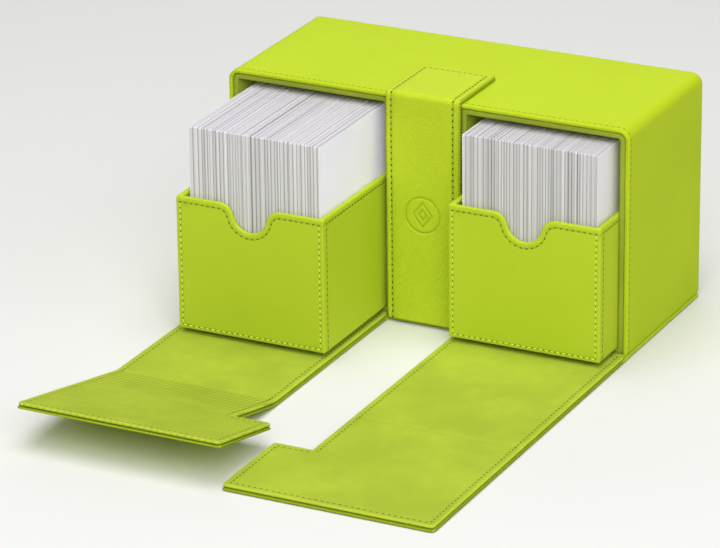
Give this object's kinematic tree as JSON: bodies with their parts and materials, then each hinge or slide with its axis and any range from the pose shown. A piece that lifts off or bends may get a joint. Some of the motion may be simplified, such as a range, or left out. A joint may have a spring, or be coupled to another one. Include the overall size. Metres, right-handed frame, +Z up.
{
  "type": "card case with drawer trays",
  "caption": "Wide leather-covered case for card decks on edge, with pull-out trays with thumb notches, a padded centre strap and folding L-shaped lids held by magnets",
  "frame": {"origin": "centre of the case's underside, on the surface that the case stands on", "axes": "+Z up; -Y out of the open front, the way the trays pull out and the opened lids lie; +X to the right as seen from the front"},
  "size_m": [0.193, 0.2746, 0.1086],
  "materials": {
    "skin": "satin, fine grain",
    "lining": "matte suede",
    "board": "matte",
    "padding": "matte",
    "steel": "brushed",
    "cards": "matte"
  },
  "bodies": {
    "case": {"base_skin": "skin", "base_board": "board", "top_board": "board", "back_board": "board", "left_board": "board", "right_board": "board", "left_divider": "board", "right_divider": "board", "centre_front_board": "board", "case_skin": "skin", "left_bay_lining": "lining", "right_bay_lining": "lining", "strap_pad": "padding", "strap_skin": "skin", "case_magnets": "steel"},
    "left_tray": {"left_tray_floor": "board", "left_tray_front": "board", "left_tray_back": "board", "left_tray_outer_side": "board", "left_tray_inner_side": "board", "left_tray_skin": "skin", "left_tray_lining": "lining", "left_deck": "cards"},
    "left_lid": {"left_lid_board": "board", "left_lid_skin": "skin", "left_lid_lining": "lining", "left_lid_hinge": "skin", "left_lid_crease": "skin"},
    "left_lid_tip": {"left_tip_board": "board", "left_tip_skin": "skin", "left_tip_lining": "lining", "left_tip_magnets": "steel"},
    "right_tray": {"right_tray_floor": "board", "right_tray_front": "board", "right_tray_back": "board", "right_tray_outer_side": "board", "right_tray_inner_side": "board", "right_tray_skin": "skin", "right_tray_lining": "lining", "right_deck": "cards"},
    "right_lid": {"right_lid_board": "board", "right_lid_skin": "skin", "right_lid_lining": "lining", "right_lid_hinge": "skin", "right_lid_crease": "skin"},
    "right_lid_tip": {"right_tip_board": "board", "right_tip_skin": "skin", "right_tip_lining": "lining", "right_tip_magnets": "steel"}
  },
  "joints": [
    {"name": "left_tray_slide", "type": "slide", "parent": "case", "child": "left_tray", "axis": [0, -1, 0], "range_m": [-0.0594, 0.0235]},
    {"name": "right_tray_slide", "type": "slide", "parent": "case", "child": "right_tray", "axis": [0, -1, 0], "range_m": [-0.0189, 0.064]},
    {"name": "left_lid_hinge", "type": "hinge", "parent": "case", "child": "left_lid", "pos_m": [-0.0574, -0.0429, 0.00135], "axis": [-1, 0, 0], "range_deg": [-90, 0]},
    {"name": "left_lid_crease", "type": "hinge", "parent": "left_lid", "child": "left_lid_tip", "pos_m": [-0.0574, -0.1492, 0.00135], "axis": [-1, 0, 0], "range_deg": [-12, 78]},
    {"name": "right_lid_hinge", "type": "hinge", "parent": "case", "child": "right_lid", "pos_m": [0.0574, -0.0429, 0.00135], "axis": [-1, 0, 0], "range_deg": [-90, 0]},
    {"name": "right_lid_crease", "type": "hinge", "parent": "right_lid", "child": "right_lid_tip", "pos_m": [0.0574, -0.1492, 0.00135], "axis": [-1, 0, 0], "range_deg": [0, 90]}
  ]
}
